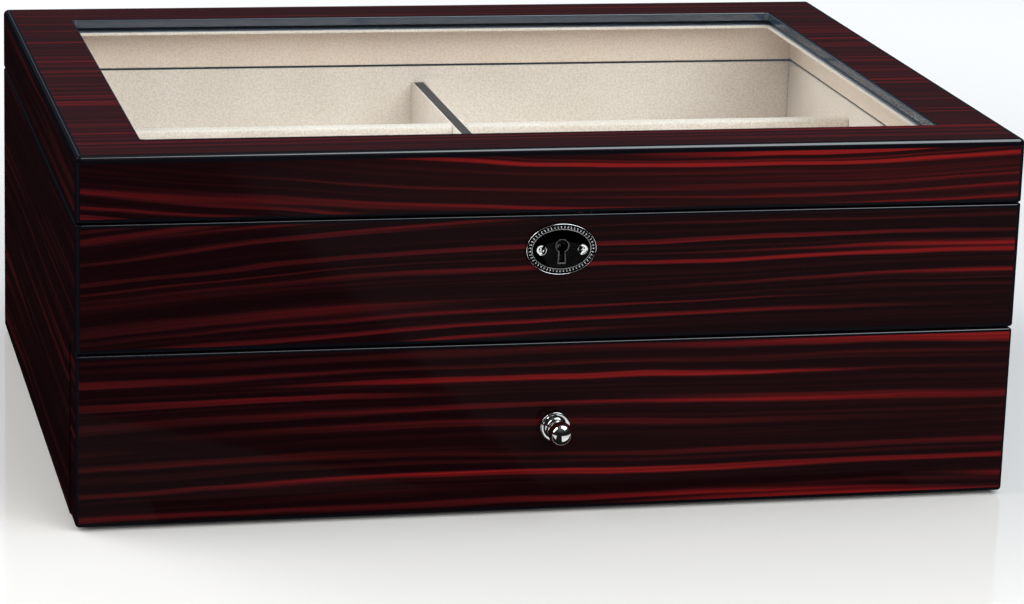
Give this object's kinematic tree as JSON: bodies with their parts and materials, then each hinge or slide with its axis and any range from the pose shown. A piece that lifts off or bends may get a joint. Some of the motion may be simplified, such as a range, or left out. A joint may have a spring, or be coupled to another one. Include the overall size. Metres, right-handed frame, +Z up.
{
  "type": "glasses box with drawer",
  "caption": "Two-tier box for glasses in glossy striped veneer: glazed hinged lid over a velvet tray with dividers, lock escutcheon, and a full-width drawer with a ball knob.",
  "frame": {"origin": "middle of the box's footprint, on the underside of the base felt that it stands on", "axes": "+Z up, +X to the right as seen from the front, the drawer and lock face -Y"},
  "size_m": [0.34, 0.2846, 0.1336],
  "materials": {
    "lacquered_veneer": "high-gloss dark striped veneer under clear lacquer",
    "black_board": "black-stained board, satin",
    "velvet": "beige velvet",
    "divider_core": "beige velvet over a dark board core",
    "base_felt": "black felt",
    "glass": "clear polished",
    "dark_chrome": "dark polished chrome",
    "chrome": "mirror polished",
    "steel": "nickel-plated steel"
  },
  "bodies": {
    "case": {"base_felt": "base_felt", "case_back": "lacquered_veneer", "case_bottom": "black_board", "case_front_rail": "lacquered_veneer", "case_left_side": "lacquered_veneer", "case_right_side": "lacquered_veneer", "case_rim_screws": "steel", "case_shelf": "black_board", "drawer_stop_strip": "black_board", "escutcheon": "dark_chrome", "escutcheon_screws": "chrome", "hinge_left_case_leaf": "steel", "hinge_left_pin": "steel", "hinge_right_case_leaf": "steel", "hinge_right_pin": "steel", "lock_case": "steel", "tray_centre_divider": "divider_core", "tray_cross_divider_front_left": "velvet", "tray_cross_divider_front_right": "velvet", "tray_cross_divider_rear_left": "velvet", "tray_cross_divider_rear_right": "velvet", "tray_floor_lining": "velvet", "tray_lining_back": "velvet", "tray_lining_front": "velvet", "tray_lining_left": "velvet", "tray_lining_right": "velvet"},
    "lid": {"glass_retainer": "velvet", "hinge_left_lid_leaf": "steel", "hinge_right_lid_leaf": "steel", "lid_back_rail": "lacquered_veneer", "lid_front_rail": "lacquered_veneer", "lid_glass": "glass", "lid_left_rail": "lacquered_veneer", "lid_lining_back": "velvet", "lid_lining_front": "velvet", "lid_lining_left": "velvet", "lid_lining_right": "velvet", "lid_right_rail": "lacquered_veneer", "lid_rim_screws": "steel", "lid_top_frame": "lacquered_veneer", "lock_strike": "steel"},
    "drawer": {"drawer_back": "black_board", "drawer_bottom": "black_board", "drawer_centre_divider": "divider_core", "drawer_cross_divider_front_left": "velvet", "drawer_cross_divider_front_right": "velvet", "drawer_cross_divider_rear_left": "velvet", "drawer_cross_divider_rear_right": "velvet", "drawer_floor_lining": "velvet", "drawer_front": "lacquered_veneer", "drawer_knob": "chrome", "drawer_left_side": "black_board", "drawer_lining_back": "velvet", "drawer_lining_front": "velvet", "drawer_lining_left": "velvet", "drawer_lining_right": "velvet", "drawer_right_side": "black_board", "knob_screw": "steel"},
    "lock_bolt": {"lock_bolt": "steel"}
  },
  "joints": [
    {"name": "lid_hinge", "type": "hinge", "parent": "case", "child": "lid", "pos_m": [0, 0.1352, 0.11], "axis": [-1, 0, 0], "range_deg": [0, 95]},
    {"name": "drawer_slide", "type": "slide", "parent": "case", "child": "drawer", "axis": [0, -1, 0], "range_m": [0, 0.195]},
    {"name": "bolt_slide", "type": "slide", "parent": "case", "child": "lock_bolt", "axis": [1, 0, 0], "range_m": [0, 0.0033]}
  ]
}
